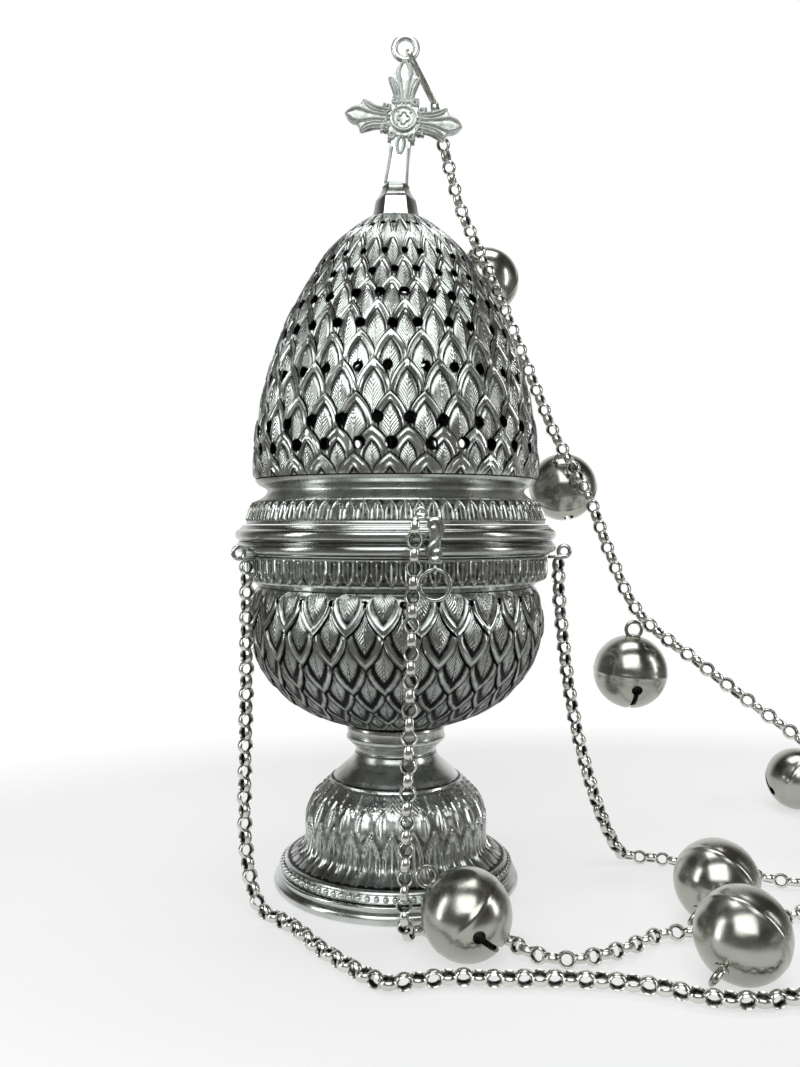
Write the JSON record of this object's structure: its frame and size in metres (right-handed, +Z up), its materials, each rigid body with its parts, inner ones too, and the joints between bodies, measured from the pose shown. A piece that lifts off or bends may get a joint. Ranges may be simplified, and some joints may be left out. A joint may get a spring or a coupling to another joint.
{
  "type": "hanging censer",
  "caption": "Hanging church censer: footed bowl with charcoal cup, tall pierced lid with a cross, jingling chains that end at a cap with a finger ring.",
  "frame": {"origin": "middle of the foot's underside, on the surface that the censer stands on", "axes": "+Z up through the cross; +X to the right in the picture, towards the chain cap; -Y towards the viewer"},
  "size_m": [0.2926, 0.2093, 0.265],
  "materials": {
    "silver_plate": "polished silver-coloured plate on brass, handled, with dark film left in the grooves",
    "antiqued_silver": "embossed silver-coloured plate, bright on the raised leaves and darkened in the recesses",
    "chain_silver": "plated band links, bright on their outer faces and dark between the links",
    "bell_metal": "mirror-bright plate, very slightly warm",
    "sooty_copper": "beaten copper, dulled by heat and soot",
    "plain_steel": "plain turned steel"
  },
  "bodies": {
    "root": {"foot_rim": "silver_plate", "foot_shell": "silver_plate", "stem_neck": "silver_plate", "stem_collar": "silver_plate", "bowl_shell": "antiqued_silver", "bowl_band": "antiqued_silver", "bowl_rim": "silver_plate", "stem_bolt": "plain_steel", "stem_washer": "plain_steel", "stem_nut": "plain_steel", "lug_left": "silver_plate", "lug_right": "silver_plate", "lug_front": "silver_plate", "chain_lid_lower": "chain_silver", "chain_left": "chain_silver", "chain_right": "chain_silver", "chain_front": "chain_silver", "bell_04": "bell_metal", "bell_05": "bell_metal", "bell_06": "bell_metal", "bell_07": "bell_metal", "bell_08": "bell_metal", "bell_09": "bell_metal", "bell_10": "bell_metal", "bell_11": "bell_metal", "bell_12": "bell_metal", "pellet_04": "plain_steel", "pellet_05": "plain_steel", "pellet_06": "plain_steel", "pellet_07": "plain_steel", "pellet_08": "plain_steel", "pellet_09": "plain_steel", "pellet_10": "plain_steel", "pellet_11": "plain_steel", "pellet_12": "plain_steel", "cap_dome": "silver_plate", "cap_eye": "silver_plate"},
    "lid": {"lid_rim": "silver_plate", "lid_band": "antiqued_silver", "lid_dome": "antiqued_silver", "finial_socket": "silver_plate", "finial_cross": "silver_plate", "finial_nut": "plain_steel", "finial_link": "chain_silver", "chain_lid_upper": "chain_silver"},
    "cup": {"charcoal_cup": "sooty_copper"},
    "bracket_ring": {"loose_ring": "silver_plate"},
    "bell_high": {"bell_01": "bell_metal", "pellet_01": "plain_steel"},
    "bell_middle": {"bell_02": "bell_metal", "pellet_02": "plain_steel"},
    "bell_low": {"bell_03": "bell_metal", "pellet_03": "plain_steel"},
    "grip_ring": {"finger_ring": "silver_plate"}
  },
  "joints": [
    {"name": "lid_lift", "type": "slide", "parent": "root", "child": "lid", "axis": [0, 0, 1], "range_m": [0, 0.04]},
    {"name": "cup_lift", "type": "slide", "parent": "root", "child": "cup", "axis": [0, 0, 1], "range_m": [0, 0.03]},
    {"name": "loose_ring_swing", "type": "hinge", "parent": "root", "child": "bracket_ring", "pos_m": [0.0104, -0.0513, 0.0995], "axis": [1, 0, 0], "range_deg": [-5, 25]},
    {"name": "bell_high_swing", "type": "hinge", "parent": "lid", "child": "bell_high", "pos_m": [0.0261, 0.023, 0.2076], "axis": [0.3198, 0.9475, 0], "range_deg": [-20, 20]},
    {"name": "bell_middle_swing", "type": "hinge", "parent": "lid", "child": "bell_middle", "pos_m": [0.0554, 0.021, 0.1373], "axis": [0.2013, 0.9795, 0], "range_deg": [-20, 20]},
    {"name": "bell_low_swing", "type": "hinge", "parent": "lid", "child": "bell_low", "pos_m": [0.0774, 0.0084, 0.0842], "axis": [0.91, -0.4146, 0], "range_deg": [-20, 20]},
    {"name": "finger_ring_turn", "type": "hinge", "parent": "root", "child": "grip_ring", "pos_m": [0.19, -0.03, 0.0183], "axis": [0.7071, 0.7071, 0], "range_deg": [0, 250]}
  ]
}
